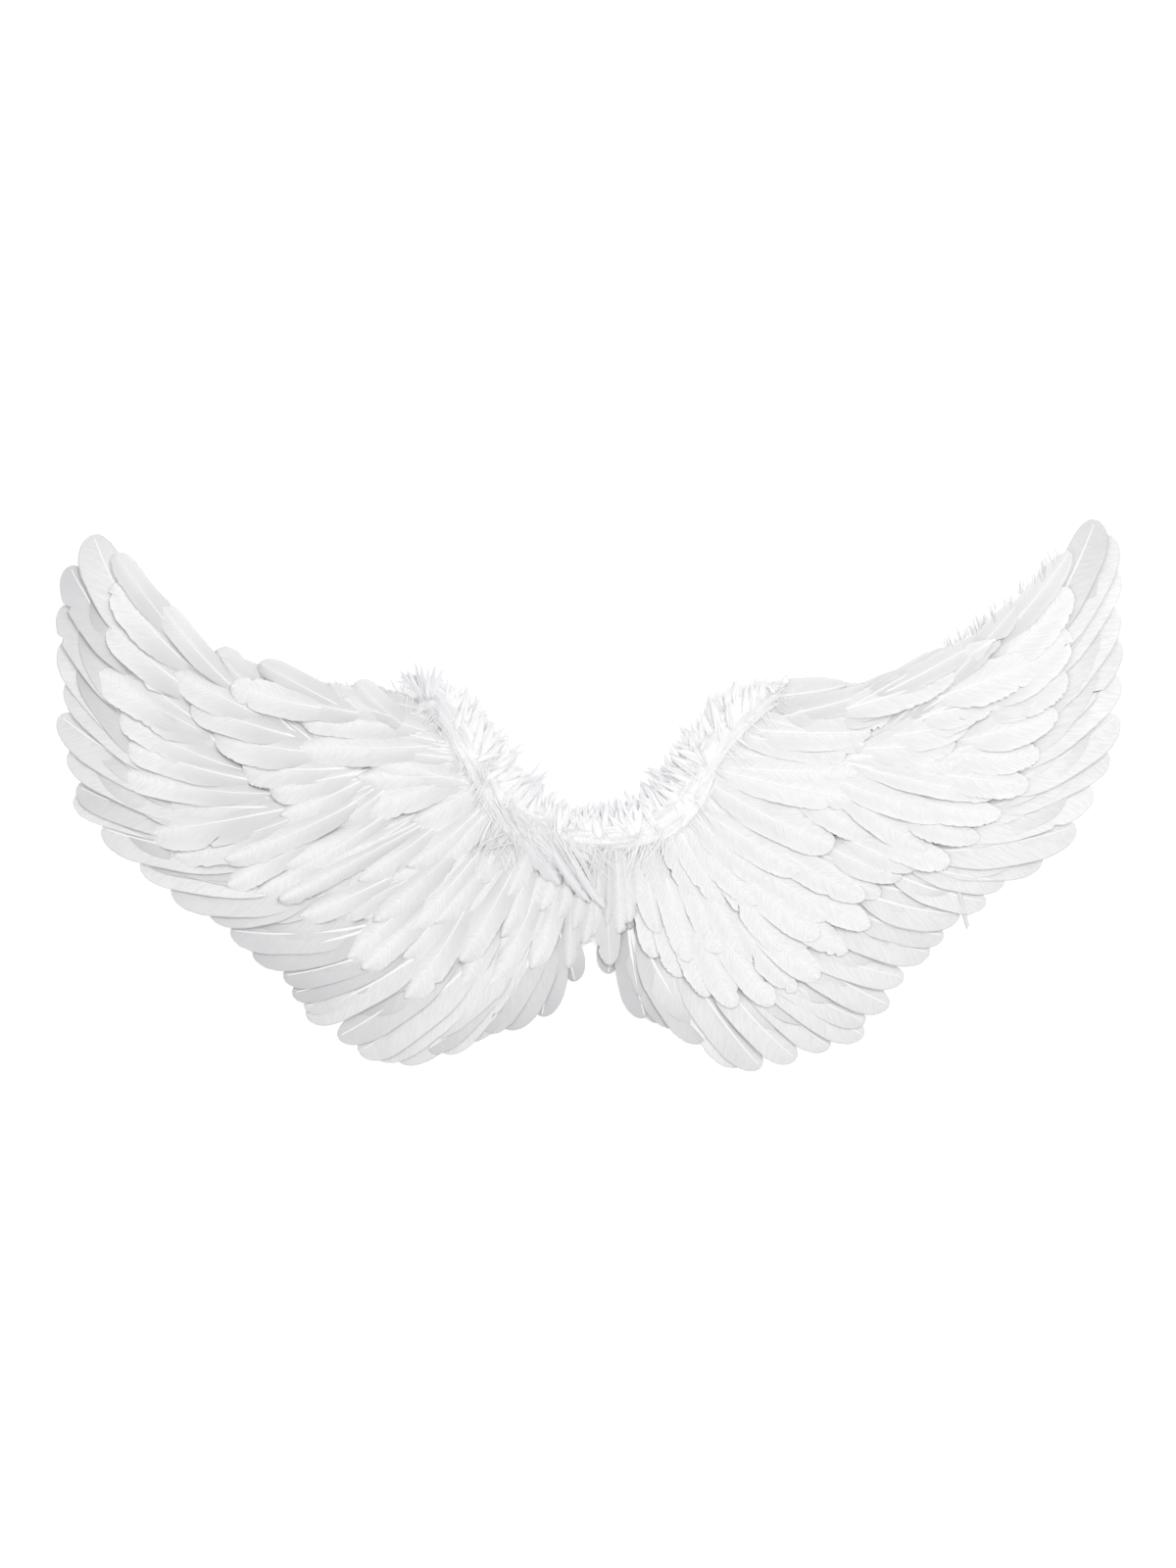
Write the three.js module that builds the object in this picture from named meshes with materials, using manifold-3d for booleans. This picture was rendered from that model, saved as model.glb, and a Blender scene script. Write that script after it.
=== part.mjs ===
// White feather costume wings, lying on their back panel with the feathers up.
// Millimetres. +X runs along the span, +Y to the top of the wings and +Z out of the feather face. The origin
// is on the back face of the panel, in the bridge between the two wings. Left and right are as seen from the
// feather side.
import * as THREE from "three";
import { mergeVertices } from "three/addons/utils/BufferGeometryUtils.js";
import Module from "manifold-3d";

const wasm = await Module();
wasm.setup();

// Driving dimensions
const panelThickness = 2;
const fitGap = 0.3; // air between pieces that lie on each other
const featherRise = 3; // height of a feather's ridge above its underside
const quillDepth = 0.4; // underside of the feathers above the underside of their ribbon
const featherBow = 0.03; // sideways bow of a feather, as a share of its length
const ribbonThickness = 1; // ribbon that the quills of one row are sewn to
const ribbonBack = 4; // its width behind the quill ends
const ribbonFront = 24; // its width under the feathers
const trimRadius = 8; // core of the down trim
const trimClearance = 0.4; // air between the trim's core and the quills that end at it
const tailLength = 30; // the trim's pointed outer end
const lockLength = 25; // one lock of down, from the core's middle
const lockRadius = 4.4;
const lockStations = 13; // places along one trim that carry locks
const lockLean = 0.3; // how far a lock leans along the trim, to and fro from lock to lock
const quillRadius = 1.7; // the stray bare quill at the right wing's lower edge
const quillLength = 25;
const quillHeading = 284;
const quillEnd = new THREE.Vector2(215.3, -42.7);

// Height of each row's underside above the back face: the rows are laid over each other like roof tiles
const rowStep = quillDepth + featherRise + fitGap;
const rowLevel = {
  flight: panelThickness + fitGap,
  longCovert: panelThickness + fitGap + rowStep,
  middleCovert: panelThickness + fitGap + 2 * rowStep,
  shortCovert: panelThickness + fitGap + 3 * rowStep,
  centre: panelThickness + fitGap + 2 * rowStep,
};

// Usual length of the feathers of each row
const usualLength = { flight: 95, longCovert: 80, middleCovert: 68, shortCovert: 55, centre: 46 };
const headingWeight = 2.5; // a feather keeps its heading more closely than its row's usual length

// Width of a feather along its length, as a share of its full width, and the ridge's share of the full rise
const stationColumns = ["along", "width", "ridge"];
const flightStations = named(stationColumns, [
  [0.0, 0.3, 0.6],
  [0.6, 1.0, 1.0],
  [0.9, 0.82, 0.8],
  [1.0, 0.34, 0.35],
]);
const covertStations = named(stationColumns, [
  [0.0, 0.36, 0.6],
  [0.76, 1.0, 1.0],
  [1.0, 0.38, 0.35],
]);

// Feathers, one line each, from the wing's tip round to the middle: where the tip is, the direction that the
// feather points in (degrees from +X) and its width. Its quill end is on its row's ribbon, at about the row's
// usual length from the tip.
const featherColumns = ["tipX", "tipY", "heading", "width"];

const leftFlight = named(featherColumns, [
  [-282, 181, 121, 23],
  [-298.5, 156, 131, 19],
  [-298, 141, 128, 19],
  [-299, 120, 130, 20],
  [-296.5, 97, 139, 18],
  [-301, 78, 149, 21],
  [-296, 57, 152, 18],
  [-291, 38, 163, 16],
  [-293, 31, 167, 17],
  [-277, 14, 168, 20],
  [-256, 2, 176, 15],
  [-237.5, -20, 181, 20],
  [-216, -34, 196, 18],
  [-204, -44, 184, 18],
  [-191.5, -57, 195, 20],
  [-174, -70, 200, 15],
  [-169, -80, 205, 13],
  [-161, -93, 210, 17],
  [-143, -105, 216, 19],
  [-131, -113.5, 219, 20],
  [-121, -116, 221, 18],
  [-109, -118, 226, 20],
  [-89, -113, 234, 17],
  [-72, -106, 239, 16],
  [-60, -101.5, 241, 16],
  [-48, -100, 242, 20],
  [-27, -93, 253, 17],
]);

const rightFlight = named(featherColumns, [
  [288, 189.5, 62, 20],
  [296, 181, 58, 20],
  [298, 163, 55, 18],
  [298, 140, 51, 18],
  [300, 122, 45, 18],
  [300.5, 101, 39, 18],
  [300.5, 78, 31, 20],
  [295.5, 57, 24, 17],
  [287, 36, 17, 19],
  [277, 15, 9, 20],
  [258, -2, 356, 17],
  [236.5, -16, 344, 15],
  [226, -28, 338, 15],
  [211, -35, 342, 19],
  [202, -47, 340, 15],
  [194, -57, 338, 19],
  [179.5, -71, 338, 16],
  [171, -87, 327, 19],
  [157.5, -96, 327, 14],
  [156.5, -104, 321, 20],
  [137, -111, 314, 17],
  [118, -117.5, 309, 17],
  [98, -122.5, 304, 20],
  [87, -121, 299, 18],
  [67, -107, 297, 18],
  [50, -99, 293, 16],
  [40, -96.5, 288, 10],
  [32, -94, 289, 16],
]);

// The coverts are charted on the left wing, and the right wing has their mirror image.

const longCoverts = named(featherColumns, [
  [-268, 172, 128, 18],
  [-270, 153, 131, 20],
  [-272, 130, 140, 19],
  [-279, 103, 146, 18],
  [-266, 80, 156, 15],
  [-262, 62, 165, 16],
  [-263, 45, 172, 15],
  [-250, 11, 190, 24],
  [-236, -2, 190, 15],
  [-222, 6, 198, 13],
  [-206, -19, 210, 14],
  [-190, -23, 213, 14],
  [-165, -36, 206, 15],
  [-148, -36, 208, 15],
  [-138, -60, 222, 15],
  [-129, -66, 225, 14],
  [-105, -83, 239, 18],
  [-74, -78, 247, 13],
  [-57, -76, 247, 14],
  [-33, -66, 255, 14],
  [-9, -73, 268, 13],
]);

const middleCoverts = named(featherColumns, [
  [-241, 146, 131, 16],
  [-235.5, 103, 157, 18],
  [-213, 67, 172, 19],
  [-197, 49, 181, 20],
  [-171, 31, 206, 15],
  [-175, 21, 206, 16],
  [-142, 17, 220, 15],
  [-207, -4, 203, 15],
  [-176, -27, 206, 11],
  [-167, -10, 213, 11],
  [-152, -4, 203, 11],
  [-131, -16, 216, 17],
  [-122, -39, 222, 16],
  [-101, -44, 230, 13],
  [-88, -40, 232, 13],
  [-73, -62, 241, 16],
  [-50, -48, 245, 14],
]);

const shortCoverts = named(featherColumns, [
  [-201, 113, 138, 15],
  [-170, 104, 150, 14],
  [-161, 89, 170, 15],
  [-138, 85, 172, 14],
  [-163, 77, 175, 14],
  [-128, 75, 172, 14],
  [-135.5, 63, 172, 12],
  [-167, 61, 179, 14],
  [-126, 55, 167, 16],
  [-130, 25, 200, 18],
  [-103, -8, 221, 15],
  [-86, -6, 226, 14],
  [-66, -18, 237, 13],
  [-46, -25, 247, 12],
]);

const centreFeathers = named(featherColumns, [
  [3, -48, 266, 11],
  [10, -46, 269, 11],
  [16, -44, 273, 11],
]);

// Middle lines of the left wing's ribbons, from the wing's tip to the middle. The right wing has their mirror
// image.
const ribbonLines = {
  flight: named(["x", "y"], [
    [-240, 114],
    [-242, 76],
    [-224, 38],
    [-190, 8],
    [-150, -16],
    [-115, -34],
    [-85, -45],
    [-58, -48],
    [-38, -43],
    [-22, -34],
  ]),
  longCovert: named(["x", "y"], [
    [-223, 114],
    [-214, 72],
    [-190, 42],
    [-160, 20],
    [-125, 2],
    [-92, -11],
    [-62, -15],
    [-40, -10],
    [-22, -5],
    [-9, -6],
  ]),
  middleCovert: named(["x", "y"], [
    [-196, 98],
    [-176, 75],
    [-150, 58],
    [-122, 42],
    [-96, 28],
    [-74, 16],
    [-52, 7],
    [-30, 1],
  ]),
  shortCovert: named(["x", "y"], [
    [-150, 84],
    [-118, 80],
    [-96, 70],
    [-82, 55],
    [-73, 39],
    [-62, 23],
    [-48, 9],
    [-34, 2],
  ]),
  centre: named(["x", "y"], [
    [-2, -3],
    [20, -3],
  ]),
};

// Half outline of the back panel, from the bridge's lower edge out to the wing's tip and back along the top
const panelOutline = named(["x", "y"], [
  [0, -30],
  [30, -58],
  [60, -74],
  [100, -83],
  [132, -73],
  [205, -20],
  [240, 10],
  [262, 46],
  [272, 82],
  [277, 122],
  [270, 152],
  [245, 138],
  [214, 110],
  [180, 95],
  [145, 90],
  [106, 88],
  [80, 76],
  [62, 53],
  [48, 30],
  [26, 15],
  [0, 11],
]);

// Middle line of the right wing's down trim, from the bridge out along the top edge. The left trim is its
// mirror image.
const trimPath = named(["x", "y"], [
  [0, 10],
  [12, 10],
  [28, 13.5],
  [43, 21],
  [53, 33],
  [60, 48],
  [69, 63],
  [81, 77],
  [97, 88],
  [120, 93],
]);

// Directions of the locks round the trim's core: the turn about the path, from straight up towards the neck
// side, and the reach as a share of the full lock
const lockDirections = named(["turn", "reach"], [
  [-34, 0.64],
  [25, 0.75],
  [80, 1.0],
]);

const finishes = {
  felt: new THREE.MeshStandardMaterial({ color: 0xf1f0ee, roughness: 0.95, metalness: 0 }),
  flight: new THREE.MeshStandardMaterial({ color: 0xe6e6ea, roughness: 0.6, metalness: 0 }),
  covert: new THREE.MeshStandardMaterial({ color: 0xf6f6f6, roughness: 0.65, metalness: 0 }),
  down: new THREE.MeshStandardMaterial({ color: 0xf9f9fa, roughness: 0.9, metalness: 0 }),
};

// A table's rows as objects with named columns
function named(columns, rows) {
  return rows.map((row) => Object.fromEntries(columns.map((column, i) => [column, row[i]])));
}

function mirrored(feathers) {
  return feathers.map((feather) => ({ ...feather, tipX: -feather.tipX, heading: 180 - feather.heading }));
}

// A closed geometry as a solid that can be joined and cut
function solidOf(geometry) {
  const bare = geometry.clone();
  bare.deleteAttribute("normal");
  bare.deleteAttribute("uv");
  const merged = mergeVertices(bare, 1e-4);
  return new wasm.Manifold(
    new wasm.Mesh({
      numProp: 3,
      vertProperties: new Float32Array(merged.attributes.position.array),
      triVerts: new Uint32Array(merged.index.array),
    }),
  );
}

function geometryOf(solid) {
  const mesh = solid.getMesh();
  const geometry = new THREE.BufferGeometry();
  geometry.setAttribute("position", new THREE.BufferAttribute(mesh.vertProperties, 3));
  geometry.setIndex(new THREE.BufferAttribute(mesh.triVerts, 1));
  geometry.computeVertexNormals();
  return geometry;
}

function joined(solids) {
  return solids.reduce((all, next) => all.add(next));
}

// Unit vector of a direction in the plane of the panel
function pointing(heading) {
  const turn = THREE.MathUtils.degToRad(heading);
  return new THREE.Vector2(Math.cos(turn), Math.sin(turn));
}

// A row's ribbon as a curve, on the left wing (side -1) or the right one (side 1)
function ribbonCurve(line, side) {
  return new THREE.SplineCurve(line.map(({ x, y }) => new THREE.Vector2(-side * x, y)));
}

// Where a feather's quill end is: the place on the ribbon nearest to where a feather of the usual length would
// start, with a miss to the side of its heading counted more than one along it
function rootOf({ tipX, tipY, heading }, curve, length) {
  const along = pointing(heading);
  const start = new THREE.Vector2(tipX, tipY).addScaledVector(along, -length);
  const missAt = (place) => {
    const miss = place.clone().sub(start);
    return Math.hypot(miss.dot(along), headingWeight * miss.cross(along));
  };
  const places = curve.getSpacedPoints(100);
  return places.reduce((best, place) => (missAt(place) < missAt(best) ? place : best));
}

// One feather: a blade with a flat underside and a ridge along its quill, lofted through three-cornered
// sections and bowed so that its tip turns up towards its wing's tip
function featherSolid(feather, stations, root, level, side) {
  const run = new THREE.Vector2(feather.tipX, feather.tipY).sub(root);
  const length = run.length();
  const points = stations.flatMap(({ along, width, ridge }) => {
    const x = along * length;
    const bow = -side * 4 * along * (1 - along) * featherBow * length;
    const half = (width * feather.width) / 2;
    return [x, bow + half, 0, x, bow - half, 0, x, bow, ridge * featherRise];
  });
  const corners = 3;
  const last = (stations.length - 1) * corners;
  const faces = [0, 1, 2, last, last + 2, last + 1];
  for (let ring = 0; ring < last; ring += corners) {
    for (let corner = 0; corner < corners; corner += 1) {
      const a = ring + corner;
      const b = ring + ((corner + 1) % corners);
      faces.push(a, b + corners, b, a, a + corners, b + corners);
    }
  }
  const geometry = new THREE.BufferGeometry();
  geometry.setAttribute("position", new THREE.Float32BufferAttribute(points, 3));
  geometry.setIndex(faces);
  geometry.rotateZ(run.angle());
  geometry.translate(root.x, root.y, level + quillDepth);
  return solidOf(geometry);
}

// The ribbon of one row: a flat strip along its curve, wider on the side that the feathers lie on
function ribbonSolid(curve, level, side) {
  const steps = 8;
  const edge = (offset) =>
    Array.from({ length: steps + 1 }, (_, i) => {
      const run = curve.getTangentAt(i / steps);
      return curve.getPointAt(i / steps).add(new THREE.Vector2(-run.y, run.x).multiplyScalar(offset));
    });
  const outline = new THREE.Shape([...edge(side * ribbonFront), ...edge(-side * ribbonBack).reverse()]);
  const strip = new THREE.ExtrudeGeometry(outline, { depth: ribbonThickness, bevelEnabled: false });
  strip.translate(0, 0, level);
  return solidOf(strip);
}

// A row of feathers sewn to its ribbon, cut clear of the trims that cover the quill ends
function featherRow(kind, feathers, stations, side, extras = []) {
  const level = rowLevel[kind];
  const curve = ribbonCurve(ribbonLines[kind], side);
  const blades = feathers.map((feather) => {
    return featherSolid(feather, stations, rootOf(feather, curve, usualLength[kind]), level, side);
  });
  return joined([ribbonSolid(curve, level, side), ...blades, ...extras]).subtract(trimRoom);
}

function trimCurve(side) {
  const height = panelThickness + fitGap + trimRadius;
  return new THREE.CatmullRomCurve3(trimPath.map(({ x, y }) => new THREE.Vector3(side * x, y, height)));
}

function tube(curve, radius) {
  const sides = 6;
  const section = new THREE.Shape(
    Array.from({ length: sides }, (_, i) => {
      const turn = (2 * Math.PI * (i + 0.5)) / sides;
      return new THREE.Vector2(radius * Math.cos(turn), radius * Math.sin(turn));
    }),
  );
  return new THREE.ExtrudeGeometry(section, { extrudePath: curve, steps: 16, bevelEnabled: false });
}

// The core of one wing's trim: a soft tube that runs out to a point at its outer end
function trimCore(side, radius) {
  const curve = trimCurve(side);
  const tail = coneSolid(curve.getPointAt(1), curve.getTangentAt(1), tailLength, radius, 6);
  return joined([solidOf(tube(curve, radius)), tail]);
}

// A cone that stands at a place, with its point in a direction
function coneSolid(at, direction, length, radius, corners) {
  const cone = new THREE.ConeGeometry(radius, length, corners);
  cone.translate(0, length / 2, 0);
  cone.applyQuaternion(new THREE.Quaternion().setFromUnitVectors(new THREE.Vector3(0, 1, 0), direction));
  cone.translate(at.x, at.y, at.z);
  return solidOf(cone);
}

// The down trim of one wing: a soft core with locks that fan from its neck side over its top
function downTrim(side) {
  const curve = trimCurve(side);
  const locks = [];
  for (let station = 1; station < lockStations; station += 1) {
    const at = curve.getPointAt(station / lockStations);
    const run = curve.getTangentAt(station / lockStations);
    const neckSide = new THREE.Vector3(-side * run.y, side * run.x, 0);
    lockDirections.forEach(({ turn, reach }, i) => {
      const angle = THREE.MathUtils.degToRad(turn);
      const lean = lockLean * Math.sin(2.4 * station + 1.7 * i);
      const direction = new THREE.Vector3(0, 0, Math.cos(angle))
        .addScaledVector(neckSide, Math.sin(angle))
        .addScaledVector(run, lean)
        .normalize();
      locks.push(coneSolid(at, direction, reach * lockLength, lockRadius, 4));
    });
  }
  return joined([trimCore(side, trimRadius), ...locks]).subtract(farSide(side));
}

// A block that fills the far side of the middle plane, so that the two trims meet there with a gap
function farSide(side) {
  const size = 120; // larger than the trims are there
  const block = new THREE.BoxGeometry(size, size, size);
  block.translate(-side * (size / 2 - fitGap / 2), 0, 0);
  return solidOf(block);
}

function backPanel() {
  const half = panelOutline.map(({ x, y }) => new THREE.Vector2(x, y));
  const across = half
    .slice(1, -1)
    .reverse()
    .map(({ x, y }) => new THREE.Vector2(-x, y));
  const outline = new THREE.Shape();
  outline.moveTo(half[0].x, half[0].y);
  outline.splineThru(half.slice(1));
  outline.splineThru([...across, half[0].clone()]);
  return new THREE.ExtrudeGeometry(outline, { depth: panelThickness, bevelEnabled: false, curveSegments: 2 });
}

// The stray quill that sticks out under the right wing's lower edge
function strayQuill() {
  const middle = quillEnd.clone().addScaledVector(pointing(quillHeading), -quillLength / 2);
  const quill = new THREE.CylinderGeometry(quillRadius, quillRadius, quillLength, 8);
  quill.rotateZ(THREE.MathUtils.degToRad(quillHeading + 90));
  quill.translate(middle.x, middle.y, rowLevel.flight + quillRadius);
  return solidOf(quill);
}

const trimRoom = joined([-1, 1].map((side) => trimCore(side, trimRadius + trimClearance)));

const wings = new THREE.Group();

function addPiece(name, geometry, finish) {
  const piece = new THREE.Mesh(geometry, finish);
  piece.name = name;
  wings.add(piece);
}

addPiece("backing_panel", backPanel(), finishes.felt);

const sides = [
  { wing: "left", side: -1, flight: leftFlight, coverts: (row) => row, extras: [] },
  { wing: "right", side: 1, flight: rightFlight, coverts: mirrored, extras: [strayQuill()] },
];

for (const { wing, side, flight, coverts, extras } of sides) {
  const covertRow = (kind, chart) => featherRow(kind, coverts(chart), covertStations, side);
  const flightRow = featherRow("flight", flight, flightStations, side, extras);
  const longRow = covertRow("longCovert", longCoverts);
  const middleRow = covertRow("middleCovert", middleCoverts);
  const shortRow = covertRow("shortCovert", shortCoverts);
  addPiece(`${wing}_flight_row`, geometryOf(flightRow), finishes.flight);
  addPiece(`${wing}_long_covert_row`, geometryOf(longRow), finishes.covert);
  addPiece(`${wing}_middle_covert_row`, geometryOf(middleRow), finishes.covert);
  addPiece(`${wing}_short_covert_row`, geometryOf(shortRow), finishes.covert);
  addPiece(`${wing}_down_trim`, geometryOf(downTrim(side)), finishes.down);
}

const centreRow = featherRow("centre", centreFeathers, covertStations, -1);
addPiece("centre_feathers", geometryOf(centreRow), finishes.covert);

export default wings;
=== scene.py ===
import bpy
import numpy as np
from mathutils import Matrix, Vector


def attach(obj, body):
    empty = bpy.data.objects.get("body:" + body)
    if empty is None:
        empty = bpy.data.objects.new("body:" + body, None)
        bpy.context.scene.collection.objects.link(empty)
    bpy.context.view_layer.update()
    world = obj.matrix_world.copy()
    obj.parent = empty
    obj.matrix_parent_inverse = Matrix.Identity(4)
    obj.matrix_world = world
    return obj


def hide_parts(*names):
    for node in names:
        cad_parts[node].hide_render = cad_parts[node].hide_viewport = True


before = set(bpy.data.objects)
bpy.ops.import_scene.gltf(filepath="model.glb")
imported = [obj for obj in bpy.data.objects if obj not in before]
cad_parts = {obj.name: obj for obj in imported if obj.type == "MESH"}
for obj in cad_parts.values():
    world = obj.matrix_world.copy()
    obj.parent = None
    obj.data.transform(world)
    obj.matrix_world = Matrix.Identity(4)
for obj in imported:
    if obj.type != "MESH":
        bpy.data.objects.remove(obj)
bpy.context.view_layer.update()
mm = 0.001  # charts and settings below are in millimetres
rng = np.random.default_rng(61)
print("frame:", len(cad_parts), "nodes")


# Smooth step from 0 to 1 over the range 0 to 1
def ease(t):
    t = np.clip(t, 0, 1)
    return t * t * (3 - 2 * t)


stepsPerPoint = 60  # fine steps of a curve for each of its points


# Catmull-Rom curve through given points, sampled at even steps of its length
def curveThrough(points, count):
    p = np.array(points, float)
    ends = np.vstack([2 * p[0] - p[1], p, 2 * p[-1] - p[-2]])
    u = np.linspace(0, len(p) - 1, stepsPerPoint * len(p))
    i = np.minimum(u.astype(int), len(p) - 2)
    t = (u - i)[:, None]
    a, b, c, d = ends[i], ends[i + 1], ends[i + 2], ends[i + 3]
    line = 0.5 * (2 * b + (c - a) * t + (2 * a - 5 * b + 4 * c - d) * t**2 + (3 * b - a - 3 * c + d) * t**3)
    run = np.concatenate([[0], np.cumsum(np.linalg.norm(np.diff(line, axis=0), axis=1))])
    even = np.linspace(0, run[-1], count)
    return np.stack([np.interp(even, run, line[:, k]) for k in range(p.shape[1])], axis=1)


sharpAngle = 65  # degrees between faces, above which their edge stays sharp


# One mesh object from several surfaces, each a dictionary of points, faces, uv, tone and finish, which is
# the number of its material
def makePiece(name, surfaces, materials, side):
    flip = np.array([side, 1, 1])  # shapes are worked out for the left wing, and the right one is its mirror
    turn = 1 if side > 0 else -1
    firsts = np.cumsum([0] + [len(s["points"]) for s in surfaces[:-1]])
    blocks = [(f[:, ::turn] + first, s["finish"]) for s, first in zip(surfaces, firsts) for f in s["faces"]]
    corners = np.concatenate([f.ravel() for f, _ in blocks]).astype(np.int32)
    sizes = np.concatenate([np.full(len(f), f.shape[1]) for f, _ in blocks])
    finish = np.concatenate([np.full(len(f), number) for f, number in blocks])
    points = np.concatenate([s["points"] for s in surfaces]) * flip * mm
    uv = np.concatenate([s["uv"] for s in surfaces])
    tone = np.concatenate([s["tone"] for s in surfaces])
    mesh = bpy.data.meshes.new(name)
    mesh.vertices.add(len(points))
    mesh.vertices.foreach_set("co", points.astype(np.float32).ravel())
    mesh.loops.add(len(corners))
    mesh.loops.foreach_set("vertex_index", corners)
    mesh.polygons.add(len(sizes))
    mesh.polygons.foreach_set("loop_start", (np.cumsum(sizes) - sizes).astype(np.int32))
    mesh.polygons.foreach_set("material_index", finish.astype(np.int32))
    mesh.update(calc_edges=True)
    mesh.uv_layers.new(name="barbs").data.foreach_set("uv", uv[corners].astype(np.float32).ravel())
    mesh.attributes.new("tone", "FLOAT", "POINT").data.foreach_set("value", tone.astype(np.float32))
    mesh.set_sharp_from_angle(angle=np.radians(sharpAngle))
    for material in materials:
        mesh.materials.append(material)
    piece = bpy.data.objects.new(name, mesh)
    bpy.context.collection.objects.link(piece)
    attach(piece, "root")
    print(name, "-", int((sizes - 2).sum()), "triangles")
    return piece


# Node graph helpers
def addNode(mat, kind, **values):
    node = mat.node_tree.nodes.new(kind)
    for key, value in values.items():
        setattr(node, key, value)
    return node


def wire(mat, source, target):
    mat.node_tree.links.new(source, target)


# Plain material with the given roughness, sheen and glow
def newMaterial(name, roughness, sheen, glow=0.0):
    mat = bpy.data.materials.new(name)
    mat.use_nodes = True
    shader = mat.node_tree.nodes["Principled BSDF"]
    shader.inputs["Roughness"].default_value = roughness
    shader.inputs["Sheen Weight"].default_value = sheen
    shader.inputs["Sheen Roughness"].default_value = 0.5
    shader.inputs["Specular IOR Level"].default_value = 0.25
    shader.inputs["Subsurface Weight"].default_value = glow  # light that passes through thin barbs
    shader.inputs["Subsurface Radius"].default_value = (1, 1, 1)
    shader.inputs["Subsurface Scale"].default_value = 3 * mm
    return mat, shader


# Noise stretched along the barbs: many cycles along the shaft and few across it
def barbNoise(mat, uv, cycles, across, detail):
    stretch = addNode(mat, "ShaderNodeMapping")
    stretch.inputs["Scale"].default_value = (cycles, across, 1)
    noise = addNode(mat, "ShaderNodeTexNoise")
    noise.inputs["Scale"].default_value = 1
    noise.inputs["Detail"].default_value = detail
    wire(mat, uv, stretch.inputs["Vector"])
    wire(mat, stretch.outputs["Vector"], noise.inputs["Vector"])
    return noise.outputs["Fac"]


# Blend of two colours, each a plain one or a socket
def blendColour(mat, factor, first, second):
    mix = addNode(mat, "ShaderNodeMix", data_type="RGBA")
    wire(mat, factor, mix.inputs["Factor"])
    for socket, colour in ((mix.inputs["A"], first), (mix.inputs["B"], second)):
        if isinstance(colour, tuple):
            socket.default_value = (*colour, 1)
        else:
            wire(mat, colour, socket)
    return mix.outputs["Result"]


vaneGrain = {"broadAcross": 1.6, "broadDetail": 3, "fineAcross": 1.1, "fineDetail": 2,
             "contrast": (0.36, 0.62), "depth": 0.5}


# Feather vane: streaks along the barbs between two whites, darkened by the tone attribute, which holds each
# feather's random tone and painted shade, with fine barb relief
def vaneMaterial(name, look):
    mat, shader = newMaterial(name, look["roughness"], look["sheen"], look["glow"])
    uv = addNode(mat, "ShaderNodeUVMap", uv_map="barbs").outputs["UV"]
    broad = barbNoise(mat, uv, look["broadStreaks"], vaneGrain["broadAcross"], vaneGrain["broadDetail"])
    fine = barbNoise(mat, uv, look["fineStreaks"], vaneGrain["fineAcross"], vaneGrain["fineDetail"])
    contrast = addNode(mat, "ShaderNodeMapRange")
    contrast.inputs["From Min"].default_value = vaneGrain["contrast"][0]
    contrast.inputs["From Max"].default_value = vaneGrain["contrast"][1]
    wire(mat, broad, contrast.inputs["Value"])
    streaks = blendColour(mat, contrast.outputs["Result"], look["dark"], look["light"])
    tone = addNode(mat, "ShaderNodeAttribute", attribute_name="tone").outputs["Fac"]
    wire(mat, blendColour(mat, tone, look["shade"], streaks), shader.inputs["Base Color"])
    relief = addNode(mat, "ShaderNodeMath", operation="ADD")
    wire(mat, broad, relief.inputs[0])
    wire(mat, fine, relief.inputs[1])
    bump = addNode(mat, "ShaderNodeBump")
    bump.inputs["Strength"].default_value = look["relief"]
    bump.inputs["Distance"].default_value = vaneGrain["depth"] * mm
    wire(mat, relief.outputs["Value"], bump.inputs["Height"])
    wire(mat, bump.outputs["Normal"], shader.inputs["Normal"])
    return mat


flightLook = {"dark": (0.85, 0.85, 0.857), "light": (0.94, 0.94, 0.945), "shade": (0.58, 0.58, 0.592),
              "roughness": 0.5, "sheen": 0.1, "glow": 0.06, "broadStreaks": 24, "fineStreaks": 90,
              "relief": 0.2}
covertLook = {"dark": (0.895, 0.895, 0.9), "light": (0.985, 0.985, 0.985), "shade": (0.74, 0.74, 0.745),
              "roughness": 0.55, "sheen": 0.15, "glow": 0.08, "broadStreaks": 34, "fineStreaks": 90,
              "relief": 0.15}
downLook = {"dark": (0.95, 0.95, 0.955), "light": (0.99, 0.99, 0.99), "shade": (0.68, 0.68, 0.71),
            "roughness": 0.7, "sheen": 0.2, "glow": 0.0, "broadStreaks": 6, "fineStreaks": 18,
            "relief": 0.12, "paintedGlow": 0.022}
flightVane = vaneMaterial("flight vane", flightLook)
covertVane = vaneMaterial("covert vane", covertLook)
downFluff = vaneMaterial("down fluff", downLook)
# painted glow: a little emitted light on the down, standing in for the light that fine down scatters
downShader = downFluff.node_tree.nodes["Principled BSDF"]
downShader.inputs["Emission Color"].default_value = (1, 1, 1, 1)
downShader.inputs["Emission Strength"].default_value = downLook["paintedGlow"]


quillLook = {"roughness": 0.35, "clouds": 160, "dark": (0.92, 0.92, 0.915), "light": (0.97, 0.97, 0.965),
             "shade": (0.6, 0.6, 0.61)}


# Quill: ivory white with faint clouding, smoother than the vanes
def shaftMaterial(look):
    mat, shader = newMaterial("quill", look["roughness"], 0)
    place = addNode(mat, "ShaderNodeTexCoord").outputs["Object"]
    cloud = addNode(mat, "ShaderNodeTexNoise")
    cloud.inputs["Scale"].default_value = look["clouds"]
    wire(mat, place, cloud.inputs["Vector"])
    ivory = blendColour(mat, cloud.outputs["Fac"], look["dark"], look["light"])
    tone = addNode(mat, "ShaderNodeAttribute", attribute_name="tone").outputs["Fac"]
    wire(mat, blendColour(mat, tone, look["shade"], ivory), shader.inputs["Base Color"])
    return mat


quillIvory = shaftMaterial(quillLook)


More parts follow.
